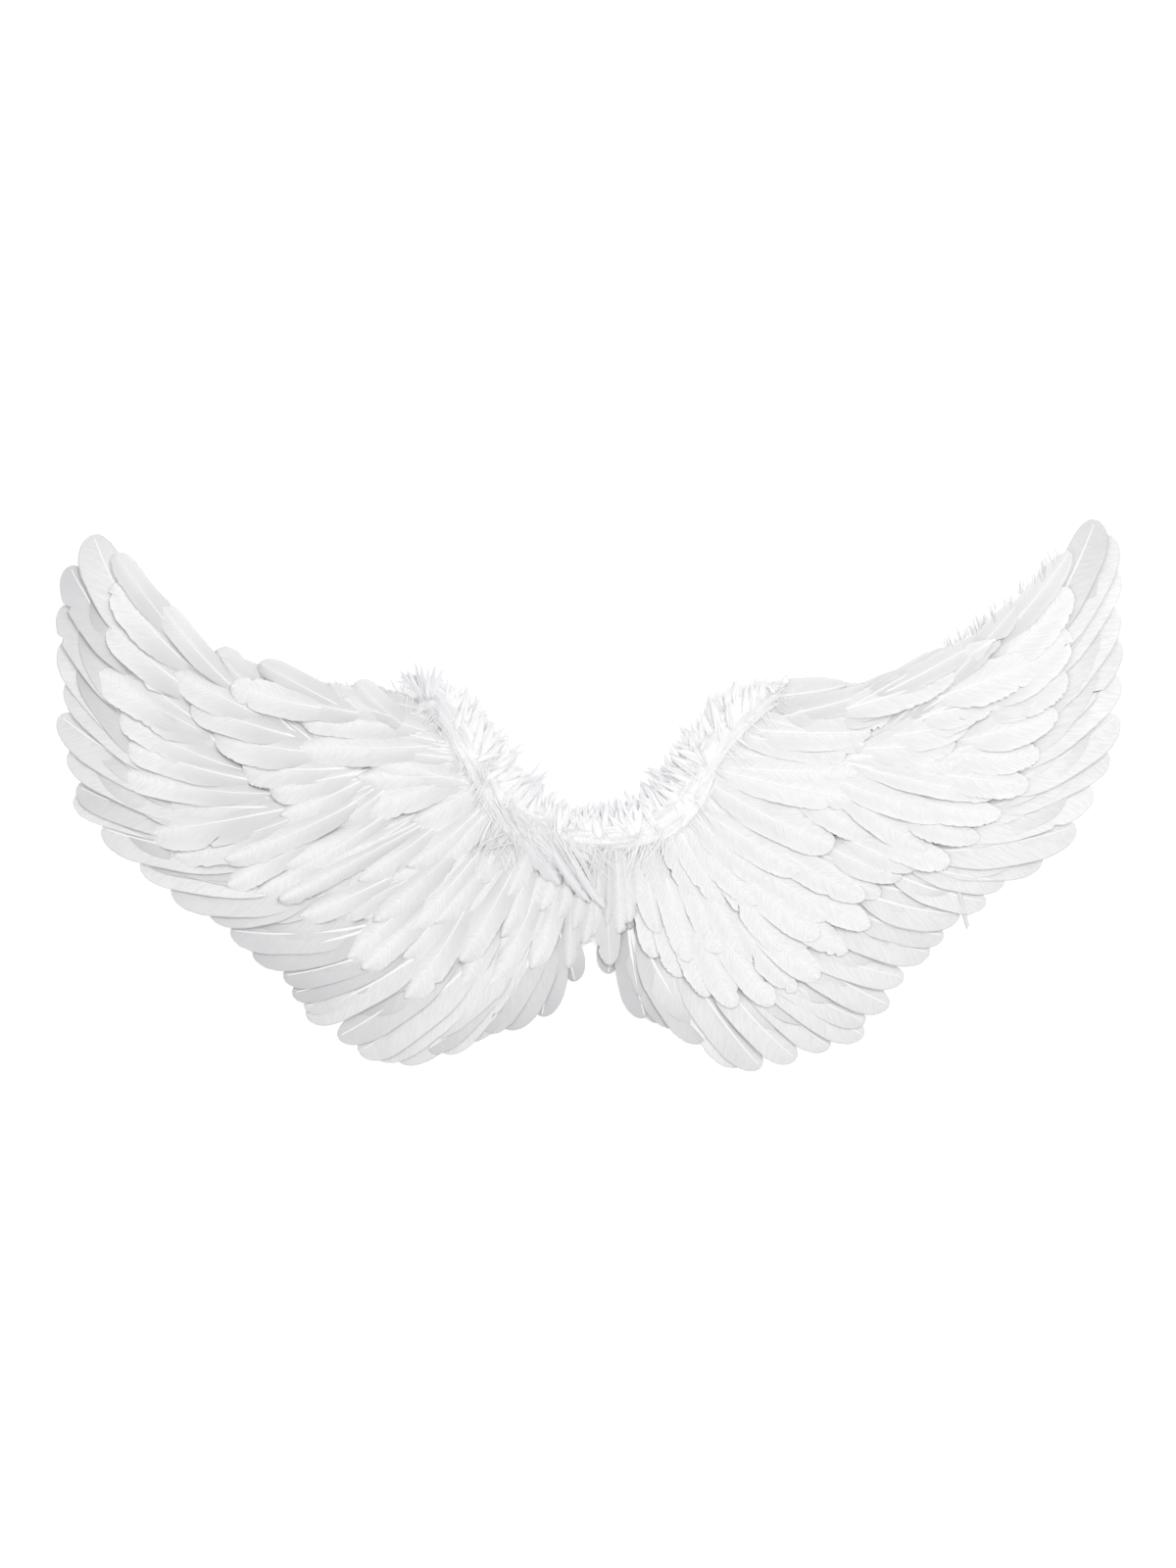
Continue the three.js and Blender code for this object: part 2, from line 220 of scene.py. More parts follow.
feltLook = {"roughness": 0.9, "sheen": 0.3, "fibres": 900, "detail": 6, "dark": (0.74, 0.73, 0.71),
            "light": (0.88, 0.87, 0.85), "relief": 0.6, "depth": 0.4}


# Felt of the back panel: matted fibres as one fine noise in colour and relief
def feltMaterial(look):
    mat, shader = newMaterial("felt", look["roughness"], look["sheen"])
    place = addNode(mat, "ShaderNodeTexCoord").outputs["Object"]
    fibres = addNode(mat, "ShaderNodeTexNoise")
    fibres.inputs["Scale"].default_value = look["fibres"]
    fibres.inputs["Detail"].default_value = look["detail"]
    wire(mat, place, fibres.inputs["Vector"])
    colour = blendColour(mat, fibres.outputs["Fac"], look["dark"], look["light"])
    wire(mat, colour, shader.inputs["Base Color"])
    bump = addNode(mat, "ShaderNodeBump")
    bump.inputs["Strength"].default_value = look["relief"]
    bump.inputs["Distance"].default_value = look["depth"] * mm
    wire(mat, fibres.outputs["Fac"], bump.inputs["Height"])
    wire(mat, bump.outputs["Normal"], shader.inputs["Normal"])
    return mat


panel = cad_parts["backing_panel"]
panel.data.materials.clear()
panel.data.materials.append(feltMaterial(feltLook))
print("materials done")


# Faces of a closed tube of rings: quads round its skin, and one face over each end
def tubeFaces(rings, sides):
    index = np.arange(rings * sides).reshape(rings, sides)
    onward = np.roll(index, -1, axis=1)
    skin = np.stack([index[:-1], onward[:-1], onward[1:], index[1:]], axis=-1).reshape(-1, 4)
    return skin, np.stack([index[0, ::-1], index[-1]])


# The same faces for every copy of a shape, each copy numbered on from the last
def copies(faces, count, pointsEach):
    return (faces[None] + (np.arange(count) * pointsEach)[:, None, None]).reshape(-1, faces.shape[1])


# Vectors brought to length 1
def unit(vectors):
    return vectors / (np.linalg.norm(vectors, axis=-1, keepdims=True) + 1e-9)


sewing = {"steps": 240, "sideWeight": 2.5}


# Where a feather's quill is sewn: the place on its ribbon nearest to where a feather of the row's usual
# length would start, with a miss to the side of its heading weighed more than one along it
def rootsOn(ribbon, chart, usualLength):
    line = curveThrough(ribbon, sewing["steps"])
    turn = np.radians(chart[:, 2])
    heading = np.stack([np.cos(turn), np.sin(turn)], axis=1)[:, None]
    miss = line[None] - (chart[:, None, :2] - usualLength * heading)
    ahead = (miss * heading).sum(-1)
    aside = miss[..., 0] * heading[..., 1] - miss[..., 1] * heading[..., 0]
    return line[np.argmin(np.hypot(ahead, sewing["sideWeight"] * aside), axis=1)]


# Chart rows as an array in the left wing's frame: tip x, tip y, heading, width, and brightness where
# it isn't 1, which paints light and shade onto the feather
def readChart(rows, mirrored=False):
    chart = np.array([(*row, 1)[:5] for row in rows], float)
    if mirrored:
        chart[:, 0] *= -1
        chart[:, 2] = (180 - chart[:, 2]) % 360
    return chart


# Feathers that fill in between charted neighbours, shorter than both by the given pull
def between(chart, pull, wide):
    mid = 0.5 * (chart[1:] + chart[:-1])
    turn = np.radians(mid[:, 2])
    mid[:, 0] -= pull * np.cos(turn)
    mid[:, 1] -= pull * np.sin(turn)
    mid[:, 3] *= wide
    return mid


vaneForm = {
    "spacing": 1.3, "foot": (0.03, 0.962, 1.05), "swept": 1.15, "quillWidth": 0.35, "slimmest": 0.04,
    "slitPlaces": (0.35, 0.97), "deepest": 0.75, "edgeFall": 2.2, "lift": (-0.4, 0.4), "waves": (2, 4),
    "flatter": (-235, 60, 0.35), "barbUnit": 50, "stations": 11, "sides": 4, "shaftEnd": 0.97,
}


# A fan of feathers. On each one s runs along the shaft from barb to barb and v from edge to edge.
# A barb leaves the shaft at foot(s) and ends further on, at end(s) on the outline, so the grid is a chevron:
# along = foot + (end - foot) |v|^swept and across = v * outline(end). The shaft is an arc from root to tip.
# Height = level + roll * across - camber |v|^edgeFall + arch + curl near the tip + a wave that grows
# towards the edges.
def featherFan(root, chart, look):
    count, nu = len(chart), look["barbs"]
    v = np.array(look["columns"], float)[None, None, :]
    s = 1 - (1 - np.linspace(0, 1, nu)[None, :, None]) ** vaneForm["spacing"]  # closer towards the tip
    nv = v.size

    def each(low, high):
        return rng.uniform(low, high, (count, 1, 1))

    def bySide(pair):
        return np.where(v < 0, pair[..., :1], pair[..., 1:])

    tip = chart[:, :2]
    width = chart[:, 3].reshape(-1, 1, 1) * look["widen"]
    root = root - unit(tip - root) * look["tuck"]
    run = tip - root
    length = np.linalg.norm(run, axis=1).reshape(-1, 1, 1)

    # outline: narrow at the quill, full width from halfway, drawn in to a rounded tip
    footStart, footRun, footCurve = vaneForm["foot"]
    foot = footStart + footRun * s**footCurve
    end = foot + look["sweep"] * width / length * (1 - s**3) + 0.008 * s
    tipShare = each(*look["tipRound"]) * width / length
    rise = vaneForm["quillWidth"] + (1 - vaneForm["quillWidth"]) * ease(end / 0.5)
    closing = np.clip((end - 1 + tipShare) / tipShare, 0, 1)
    rounded = np.maximum(np.sqrt(1 - closing ** look["tipFull"]), vaneForm["slimmest"])
    half = 0.5 * width * rise * rounded
    share = np.where(v < 0, look["outerVane"], 2 - look["outerVane"])

    # ragged barb ends, and slits where the vane has parted
    ragged = bySide(1 - each(0.3, 1.7) * look["ragged"] * (0.6 + 2 * s**6) * rng.random((count, nu, 2)) ** 2)
    slitAt = rng.uniform(*vaneForm["slitPlaces"], (count, 1, 2, 2))
    slitDeep = rng.uniform(0, look["slitDepth"], slitAt.shape) * (rng.random(slitAt.shape) < look["slits"])
    near = (s[..., None] - slitAt) * nu
    notch = bySide(np.clip((slitDeep * np.exp(-1.5 * near**2)).sum(-1), 0, vaneForm["deepest"]))
    parting = bySide((slitDeep * near * np.exp(-((near / 2) ** 2))).sum(-1))
    across = v * (1 + (ragged - 1) * np.abs(v) ** 4) * (1 - notch * np.abs(v) ** 2) * half * share
    along = foot + (end - foot) * np.abs(v) ** vaneForm["swept"] + 0.9 / length * parting * v**2
    along = np.minimum(along, 1)

    # the shaft's arc in the plane of the wing
    bow = each(*look["bow"])
    d = unit(run).reshape(-1, 1, 1, 2)
    n = np.stack([-d[..., 1], d[..., 0]], axis=-1)

    def onShaft(a, sideways):
        place = root[:, None, None, :] + d * (a * length)[..., None]
        place = place + n * (bow * length * 4 * a * (1 - a))[..., None]
        lean = 4 * bow * (1 - 2 * a)
        normal = (n - d * lean[..., None]) / np.sqrt(1 + lean**2)[..., None]
        return place + normal * sideways[..., None]

    # heights
    atRoot, atMiddle, atTip = look["levels"]
    lift = each(*vaneForm["lift"]) + look["lift"]
    roll = np.tan(np.radians(each(*look["roll"])))
    flatEnd, flatRun, flatLeast = vaneForm["flatter"]  # feathers near the wing's tip lie flatter
    rolled = flatLeast + (1 - flatLeast) * ease((chart[:, 0] - flatEnd) / flatRun).reshape(-1, 1, 1)
    camber = each(*look["camber"]) * rolled
    curl = each(*look["curl"])
    arch = each(*look["arch"])
    phase = rng.uniform(0, 2 * np.pi, (count, 1, 2))
    waves = each(*vaneForm["waves"])

    def heightAt(a, w, sideways, fold):
        wavePhase = np.where(w < 0, phase[..., :1], phase[..., 1:])
        wave = look["wave"] * np.sin(2 * np.pi * waves * a + wavePhase) * np.abs(w) ** 1.5
        level = atRoot + (atMiddle - atRoot) * ease(a / 0.35) + (atTip - atMiddle) * ease((a - 0.35) / 0.65)
        bend = curl * np.clip((a - 0.55) / 0.45, 0, 1) ** 2 + arch * 4 * a * (1 - a)
        tilt = roll * sideways * ease(a / 0.4)
        height = level + lift + bend + tilt - fold * camber * np.abs(w) ** vaneForm["edgeFall"] + wave
        return np.maximum(height, look["lowest"])

    fold = 0.4 + 0.6 * ease(end / 0.35)
    top = np.concatenate([onShaft(along, across), heightAt(along, v, across, fold)[..., None]], axis=-1)
    thick = look["thickness"] * (1 - 0.65 * np.abs(v))
    under = top - np.array([0, 0, 1]) * (thick * np.ones_like(along))[..., None]
    points = np.stack([top, under], axis=1).reshape(-1, 3)

    # faces: upper grid, lower grid turned over, and the rim between them
    index = np.arange(nu * nv).reshape(nu, nv)
    grid = np.stack([index[:-1, :-1], index[1:, :-1], index[1:, 1:], index[:-1, 1:]], axis=-1).reshape(-1, 4)
    rim = np.concatenate([index[:-1, 0], index[-1, :-1], index[:0:-1, -1], index[0, :0:-1]])
    rimNext = np.roll(rim, -1)
    rimFaces = np.stack([rimNext, rim, rim + nu * nv, rimNext + nu * nv], axis=-1)
    faces = copies(np.concatenate([grid, grid[:, ::-1] + nu * nv, rimFaces]), count, 2 * nu * nv)

    # barb coordinate in barb units along, and across, shifted from feather to feather
    shift = rng.uniform(0, 30, (count, 1, 1, 2))
    barbs = np.stack(np.broadcast_arrays(s * length / vaneForm["barbUnit"], v), axis=-1) + shift
    uv = np.stack([barbs, barbs], axis=1).reshape(-1, 2)
    # painted shade: a darker outline, tip, root under the next row, and vane between shaft and edge
    tone = each(*look["tone"]) * chart[:, 4].reshape(-1, 1, 1) - look["edgeShade"] * (np.abs(v) > 0.99)
    tone = tone - look["tipShade"] * ease((along - 0.5) / 0.5)
    tone = tone - look["rootShade"] * (1 - ease((along - 0.3) / 0.5))
    tone = np.clip(tone - look["midShade"] * np.sin(np.pi * np.abs(v)), 0, 1)  # brighter shaft and edges
    tone = np.stack([tone, tone], axis=1).reshape(-1)
    vanes = {"points": points, "faces": [faces], "uv": uv, "tone": tone, "finish": 0}

    # shafts: four-sided tapering tubes on the vanes' middle line
    stations, sides = vaneForm["stations"], vaneForm["sides"]
    a = np.linspace(0, vaneForm["shaftEnd"], stations)[None, :, None]
    angle = (np.arange(sides) * 2 * np.pi / sides)[None, None, :]
    thin = each(*look["shaft"]) * (1 - 0.75 * a) * (0.6 + 0.4 * width / 18)
    middle = heightAt(a, 0 * a, 0 * a, 1) + 0.15
    ring = onShaft(a + 0 * angle, thin * np.cos(angle))
    tube = np.concatenate([ring, (middle + 0.45 * thin * np.sin(angle))[..., None]], axis=-1).reshape(-1, 3)
    faces = copies(np.concatenate(tubeFaces(stations, sides)), count, stations * sides)
    shafts = {"points": tube, "faces": [faces], "uv": np.zeros((len(tube), 2)), "tone": np.ones(len(tube)),
              "finish": 1}
    return [vanes, shafts]


# Bare quills: round tubes from start to end, a little thinner at the end, which is cut at a slant
def bareQuills(starts, ends, radius, slant, tone):
    starts, ends = np.array(starts, float), np.array(ends, float)
    count, stations, sides = len(starts), 4, 10
    t = np.linspace(0, 1, stations)[None, :, None, None]
    angle = (np.arange(sides) * 2 * np.pi / sides)[None, None, :, None]
    ahead = unit(ends - starts)
    level = unit(np.cross(np.array([0, 0, 1.0]), ahead))
    upright = np.cross(ahead, level)
    ahead, level, upright = (axis[:, None, None, :] for axis in (ahead, level, upright))
    middle = starts[:, None, None, :] * (1 - t) + ends[:, None, None, :] * t
    thin = radius * (1 - 0.25 * t)
    around = thin * (level * np.cos(angle) + upright * np.sin(angle))
    points = middle + around + ahead * slant * t**8 * np.cos(angle)
    skin, caps = tubeFaces(stations, sides)
    faces = [copies(skin, count, stations * sides), copies(caps, count, stations * sides)]
    points = points.reshape(-1, 3)
    return {"points": points, "faces": faces, "uv": np.zeros((len(points), 2)),
            "tone": np.full(len(points), tone), "finish": 1}


# A row of feathers on its ribbon: shorter plain ones tucked in between and under the charted ones
def featherRow(name, chart, ribbon, look, material, side, extras=()):
    surfaces = featherFan(rootsOn(ribbon, chart, look["usual"]), chart, look) + list(extras)
    for pull, lift, wide in look["fillers"]:
        extra = between(chart, pull, wide)
        plain = {**look, **fillerShape, "lift": lift}
        surfaces += featherFan(rootsOn(ribbon, extra, look["usual"]), extra, plain)
    piece = makePiece(name, surfaces, [material, quillIvory], side)
    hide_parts(name)


# Ribbons that the quills are sewn to, on the left wing from its tip to the middle
ribbons = {
    "flight": [(-240, 114), (-242, 76), (-224, 38), (-190, 8), (-150, -16), (-115, -34), (-85, -45),
               (-58, -48), (-38, -43), (-22, -34)],
    "long": [(-223, 114), (-214, 72), (-190, 42), (-160, 20), (-125, 2), (-92, -11), (-62, -15), (-40, -10),
             (-22, -5), (-9, -6)],
    "middle": [(-200, 93), (-178, 74), (-150, 58), (-122, 42), (-96, 28), (-74, 16), (-52, 7), (-30, 1)],
    "short": [(-150, 84), (-118, 80), (-96, 70), (-82, 55), (-73, 39), (-62, 23), (-48, 9), (-34, 2)],
    "centre": [(-26, 2), (-2, -1), (20, -1), (30, 2)],
}

# Feathers by wing and row: tip x, tip y, heading in degrees from +X, width, and brightness where it isn't 1,
# which is painted light and shade on that feather; from the wing's tip to the middle
charts = {
    "left": {
        "flight": [
            (-282, 181, 121, 23), (-295.5, 163, 127, 21, 0.75), (-298, 141, 128, 19, 0.8),
            (-299, 120, 130, 20), (-296.5, 97, 139, 18), (-301, 78, 149, 21), (-296, 57, 152, 18),
            (-291, 38, 163, 16), (-293, 31, 167, 14), (-277, 14, 168, 20), (-256, 2, 176, 15),
            (-255, -6, 173, 15), (-237.5, -20, 181, 20), (-216, -34, 196, 18),
            (-204, -44, 184, 18, 0.7), (-191.5, -57, 195, 20, 0.65), (-174, -70, 200, 15, 0.7),
            (-169, -80, 205, 13, 0.75), (-162, -88, 209, 14, 0.85), (-161, -93, 210, 17, 0.8),
            (-143, -105, 216, 19, 0.8), (-131, -113.5, 219, 20), (-121, -116, 221, 18),
            (-109, -118, 226, 20), (-92, -112.5, 232, 15), (-84, -113, 236, 15), (-72, -106, 239, 16),
            (-60, -101.5, 241, 16, 0.8), (-48, -100, 242, 20, 0.65), (-27, -93.3, 253, 17, 0.6),
            (-8, -73.4, 264, 14, 0.5),
        ],
        "long": [
            (-269, 170, 129, 14, 0.5), (-270, 153, 136, 21), (-272, 130, 143, 20), (-279, 103, 152, 20),
            (-266, 80, 156, 17), (-262, 62, 165, 17), (-263, 45, 172, 16), (-250, 11, 190, 24, 0.85),
            (-236, -2, 190, 16, 0.8), (-222, 6, 198, 14, 0.85), (-206, -19, 210, 15),
            (-190, -23, 213, 15), (-165, -36, 206, 15), (-148, -36, 208, 16), (-138, -60, 222, 16),
            (-129, -66, 225, 15), (-105, -83, 239, 18), (-74, -78, 247, 14), (-57, -76, 247, 14),
            (-33, -66, 255, 14), (-12, -66, 263, 12, 0.5),
        ],
        "middle": [
            (-243, 141, 132, 13, 0.6), (-209, 111, 155, 12, 0.35), (-235.5, 102, 157, 20),
            (-226, 84, 164, 18, 0.85), (-213, 68, 172, 22), (-197, 49, 181, 20), (-182, 37, 193, 20),
            (-171, 31, 206, 15), (-175, 21, 206, 16), (-142, 17, 220, 15), (-207, -4, 203, 15),
            (-176, -27, 206, 12), (-167, -10, 213, 12), (-152, -4, 203, 12), (-131, -16, 216, 17),
            (-122, -39, 222, 16), (-101, -44, 230, 14), (-88, -40, 232, 14), (-73, -62, 241, 16),
            (-50, -48, 245, 14),
        ],
        "short": [
            (-187, 108, 152, 14, 0.35), (-203, 95, 158, 17), (-176, 92, 158, 15, 0.7),
            (-150, 93, 168, 14, 0.6), (-132, 97, 172, 14, 0.6), (-161, 89, 170, 16),
            (-138, 85, 172, 15), (-163, 77, 175, 15), (-128, 75, 172, 15), (-167, 59.5, 179, 18),
            (-135.5, 63, 172, 13), (-126, 55, 167, 17), (-132, 43, 180, 16), (-130, 25, 200, 18),
            (-103, -8, 221, 15), (-86, -6, 226, 14), (-66, -18, 237, 13), (-46, -25, 247, 12),
        ],
    },
    "right": {
        "flight": [
            (288, 189.5, 62, 20, 0.9), (296, 181, 58, 20, 1.3), (298, 163, 55, 18, 1.3),
            (298.3, 140, 51, 18, 1.3), (299.8, 122, 45, 18, 1.3), (300.5, 101, 39, 18, 1.3),
            (300.5, 78, 31, 20, 1.3), (295.5, 57, 24, 17, 1.25), (286.8, 36, 17, 19, 1.2),
            (277, 15, 9, 20, 1.2), (258, -2, 356, 17), (236.5, -16, 344, 15), (226, -28, 338, 15),
            (211, -35, 342, 19), (202, -47, 340, 15), (194, -57, 338, 19), (179.5, -71, 338, 16),
            (171, -87, 327, 19), (157.5, -96, 327, 14), (156.5, -104, 321, 20), (137, -111, 314, 17),
            (118, -117.5, 309, 17), (98, -122.5, 304, 20), (87, -121, 299, 18),
            (67, -107, 297, 18, 0.6), (50, -99, 293, 16, 0.4), (40, -96.5, 288, 10, 0.25),
            (32, -94, 289, 16, 0.15), (11, -69, 288, 14, 0),
        ],
        "long": [
            (273, 171, 46, 13, 0.5), (273, 150, 42, 20), (272, 126, 36, 21), (271, 102, 20, 20),
            (266, 80, 12, 18), (256, 57, 356, 17), (250, 38, 350, 16), (234, 22, 345, 15),
            (222, 8, 336, 15), (205, -6, 334, 14), (188, -8, 332, 15), (178, -14, 332, 14),
            (166, -24, 328, 16), (160, -42, 328, 16), (147, -57, 320, 16), (131, -72, 313, 15),
            (118, -79, 308, 14), (105, -87, 303, 14), (83, -88, 292, 15), (68, -82, 287, 14),
            (53, -71, 281, 16), (38, -60, 276, 13), (12, -64, 276, 12, 0),
        ],
        "middle": [
            (243, 141, 44, 12, 0.45), (233, 131, 38, 11, 0.4), (258, 110, 20, 21), (236, 89, 9, 17),
            (216, 75, 4, 17), (208, 63, 0, 19), (214, 50, 354, 15), (231, 33, 350, 11),
            (205, 20, 342, 14), (192, 1, 322, 14), (162, 9, 330, 14), (157, -26, 328, 15),
            (138, -36, 322, 15), (131, -48, 318, 15), (110, -56, 305, 14), (92, -62, 297, 14),
            (75, -57, 292, 14), (57, -62, 285, 13), (40, -46, 279, 13),
        ],
        "short": [
            (228, 124, 40, 11, 0.5), (204, 115, 32, 10, 0.35), (207, 102, 24, 16),
            (172, 94, 8, 12, 0.5), (157, 92, 6, 14, 0.7), (172, 81, 6, 17), (160, 69, 0, 16),
            (157, 61, 345, 12), (146, 56, 350, 14), (153, 45, 358, 15), (152, 30, 348, 16),
            (139, 4, 333, 17), (124, 8, 330, 14), (120, -11, 328, 15), (104, -16, 318, 14),
            (95, -30, 310, 14), (78, -30, 300, 13), (60, -24, 292, 13), (44, -30, 284, 12),
        ],
    },
}
# Feathers of the middle, charted as above; brightness below 1 is painted shade
centreTips = [
    (-35, -34, 250, 12), (-27, -33, 255, 12), (-18, -38, 259, 12, 0.9), (-9, -44, 262, 12, 0.7),
    (-3, -52, 265, 11, 0.6), (3, -47, 267, 10, 0.7), (10, -42, 269, 10, 0.4), (17, -46, 273, 11, 0.9),
    (23, -40, 276, 12), (31, -36, 280, 12),
]

fineColumns = (-1, -0.93, -0.62, -0.3, 0, 0.3, 0.62, 0.93, 1)
flightShape = {
    "barbs": 40, "columns": fineColumns, "thickness": 0.3, "shaft": (0.95, 1.2), "levels": (3.4, 3.4, 3.9),
    "lift": 0.0, "lowest": 0.6, "outerVane": 0.8, "tipRound": (0.95, 1.35), "tipFull": 2.3, "sweep": 0.75,
    "bow": (0.03, 0.055), "roll": (8, 14), "camber": (0.6, 1.3), "curl": (-0.8, 0.6), "arch": (0, 0.4),
    "wave": 0.2, "ragged": 0.03, "slits": 0.07, "slitDepth": 0.35, "tone": (0.7, 1.0), "edgeShade": 0.4,
    "tipShade": 0.25, "rootShade": 0.1, "midShade": 0, "widen": 1.1, "tuck": 0,
    "fillers": [(22, -0.9, 1.15)],  # pull, lift and widening of each layer
}
covertShape = {
    **flightShape, "outerVane": 0.95, "tipRound": (0.6, 1.3), "tipFull": 2.5, "bow": (0.0, 0.05),
    "roll": (6, 12), "camber": (3.4, 5.6), "curl": (-2.2, 0.0), "arch": (0.2, 1.0), "wave": 0.3,
    "ragged": 0.07, "slits": 0.2, "tone": (0.92, 1.12), "edgeShade": 0.3, "tipShade": 0, "rootShade": 0.75,
    "midShade": 0.28, "widen": 1.12, "tuck": 5, "shaft": (0.35, 0.75),
    "fillers": [(18, -1.2, 1.3), (29, -1.7, 1.6), (42, -2.2, 1.5)],
}
fillerShape = {"barbs": 24, "columns": (-1, -0.5, 0, 0.5, 1), "edgeShade": 0.1}
rowShapes = {
    "flight": {**flightShape, "usual": 95},
    "long": {**covertShape, "usual": 80, "levels": (6.4, 8.2, 6.8)},
    "middle": {**covertShape, "usual": 68, "levels": (9.8, 12.2, 10.2), "rootShade": 0.6},
    "short": {**covertShape, "usual": 55, "levels": (11.5, 15.8, 13.6), "tuck": 20, "roll": (3, 7),
              "camber": (2.4, 4.2), "rootShade": 0.45},
    "centre": {**covertShape, "usual": 46, "levels": (11.5, 13.0, 10.0), "tuck": 12,
               "fillers": [(8, -1.0, 1.4)], "ragged": 0.2, "slits": 0.7, "slitDepth": 0.6,
               "rootShade": 0.3},
}
# painted light and shade: the right wing's feathers get brighter tones and the left wing's greyer ones
wingLook = {  # the left wing's coverts are rolled and greyer, and the right wing's lie flatter and brighter
    "left": {"flight": {"tone": (0.5, 1.0), "edgeShade": 0.65, "tipShade": 0.4}, "covert": {}, "levels": {}},
    "right": {
        "flight": {"tone": (0.8, 1.0), "edgeShade": 0.7, "tipShade": 0.35},
        "covert": {"camber": (0.6, 1.4), "curl": (-1.4, 0.2), "tone": (0.98, 1.18), "midShade": 0.3,
                   "shaft": (0.5, 0.9), "rootShade": 0.15, "edgeShade": 0, "roll": (3, 5), "widen": 1.25,
                   "tipRound": (0.9, 2.2), "ragged": 0.1, "slits": 0.3},
        "levels": {"middle": (9.0, 10.8, 8.8), "short": (11.0, 13.8, 11.4)},
    },
}

# Feathers along the top edge beside the down, with roots under it, in the left wing's frame, some in painted
# shade
crestRoots = {"left": [(-82, 80), (-84, 74), (-76, 66)], "right": [(-80, 88), (-88, 78), (-230, 121)]}
crestTips = {"left": [(-136, 93, 166, 12, 0.5), (-122, 86, 168, 13), (-116, 76, 168, 15)],
             "right": [(-146, 95, 164, 16, 0.4), (-128, 89, 170, 14, 0.8), (-211, 108, 325, 14)]}
crestShape = {"tuck": 0, "levels": (12.0, 13.0, 11.5)}
# a bare quill that sticks out of the right wing's lower edge
# its low tone paints shade onto the white quill
looseQuill = bareQuills([(-210, -21, 3.4)], [(-215.3, -42.7, 4.4)], radius=1.7, slant=1.2, tone=0.5)
for word, side in (("left", 1), ("right", -1)):
    own = wingLook[word]
    crest = featherFan(np.array(crestRoots[word], float), readChart(crestTips[word]),
                       {**rowShapes["short"], **own["covert"], **crestShape})
    for key, rows in charts[word].items():
        kind = "flight" if key == "flight" else "covert"
        name = f"{word}_flight_row" if kind == "flight" else f"{word}_{key}_covert_row"
        shape = {**rowShapes[key], **own[kind]}
        shape["levels"] = own["levels"].get(key, shape["levels"])
        vane = flightVane if kind == "flight" else covertVane
        extras = [looseQuill] if name == "right_flight_row" else crest if key == "short" else []
        featherRow(name, readChart(rows, side < 0), ribbons[key], shape, vane, side,
                   extras)
featherRow("centre_feathers", readChart(centreTips), ribbons["centre"], rowShapes["centre"], covertVane, 1)
print("feathers done")


# Fine strands: three-sided tubes along given paths that taper to a point, with a tone for every ring
def strandSurface(paths, thick, tone):
    count, rings = paths.shape[0], paths.shape[1] - 1
    ahead = unit(np.gradient(paths, axis=1))
    a = unit(np.cross(ahead, np.array([0.31, 0.17, 0.93])))
    b = np.cross(ahead, a)
    angle = np.arange(3) * 2 * np.pi / 3
    taper = (1 - 0.8 * np.arange(rings) / rings)[None, :, None, None] * thick[:, None, None, None]
    ring = a[:, :rings, None] * np.cos(angle)[:, None] + b[:, :rings, None] * np.sin(angle)[:, None]
    ring = paths[:, :rings, None] + ring * taper
    points = np.concatenate([ring.reshape(count, -1, 3), paths[:, -1:]], axis=1)
    skin, caps = tubeFaces(rings, 3)
    last = caps[1]
    point = np.stack([last, np.roll(last, -1), np.full(3, rings * 3)], axis=-1)
    ends = np.concatenate([point, caps[:1]])
    each = rings * 3 + 1
    uv = np.repeat(rng.uniform(0, 9, (count, 1, 2)), each, axis=1)
    tones = np.concatenate([np.repeat(tone[:, :rings], 3, axis=1), tone[:, -1:]], axis=1)
    return {"points": points.reshape(-1, 3), "uv": uv.reshape(-1, 2), "tone": tones.ravel(),
            "faces": [copies(skin, count, each), copies(ends, count, each)], "finish": 0}


pathSteps = {"length": 200, "places": 400}


# Length of the curve through a path's points
def pathLength(path):
    line = curveThrough(path, pathSteps["length"])
    return np.linalg.norm(np.diff(line, axis=0), axis=1).sum()


# Places given as (along, out, height) beside a path, as points in the part's frame
def beside(path, local):
    line = curveThrough(path, pathSteps["places"])
    run = np.concatenate([[0], np.cumsum(np.linalg.norm(np.diff(line, axis=0), axis=1))])
    heading = unit(np.gradient(line, axis=0))
    at = np.clip(local[..., 0], 0, run[-1])
    x, y = np.interp(at, run, line[:, 0]), np.interp(at, run, line[:, 1])
    hx, hy = np.interp(at, run, heading[:, 0]), np.interp(at, run, heading[:, 1])
    over, out = local[..., 0] - at, local[..., 1]
    return np.stack([x + hx * over - hy * out, y + hy * over + hx * out, local[..., 2]], axis=-1)


lockForm = {"grow": (0.6, 1.12), "flutter": 0.5, "mottle": 0.05, "size": (0.7, 1.2)}


# Strands of locks of down. A lock's guide runs from its start by its reach, with a bend that grows as t^2,
# and its strands start spread apart, draw together towards the tip and lose tone by the lock's fade.
def lockStrands(path, locks, look):
    start, reach, bend, tone = locks
    count, strands, rings = len(start), look["strands"], look["rings"]
    t = np.linspace(0, 1, rings)[None, None, :, None]
    grow = rng.uniform(*lockForm["grow"], (count, strands, 1, 1))
    start, reach, bend = (columns[:, None, None, :] for columns in (start, reach, bend))
    guide = start + reach * t * grow + bend * t**2 * grow
    apart = rng.normal(0, 1, (count, strands, 1, 3)) * np.asarray(look["spread"])
    flutter = np.sin(3 * t + rng.uniform(0, 6.3, (count, strands, 1, 3))) * lockForm["flutter"] * t
    gather = (1 - t) ** 0.8 * (1 - look["loose"]) + look["loose"]
    local = (guide + apart * gather + flutter).reshape(-1, rings, 3)
    shades = np.repeat(tone, strands) + rng.normal(0, lockForm["mottle"], count * strands)
    shades = np.clip(shades[:, None] - look["fade"] * t[0, :, :, 0], 0, 1)
    thick = rng.uniform(*look["thick"], count * strands)
    return strandSurface(beside(path, local), thick, shades)


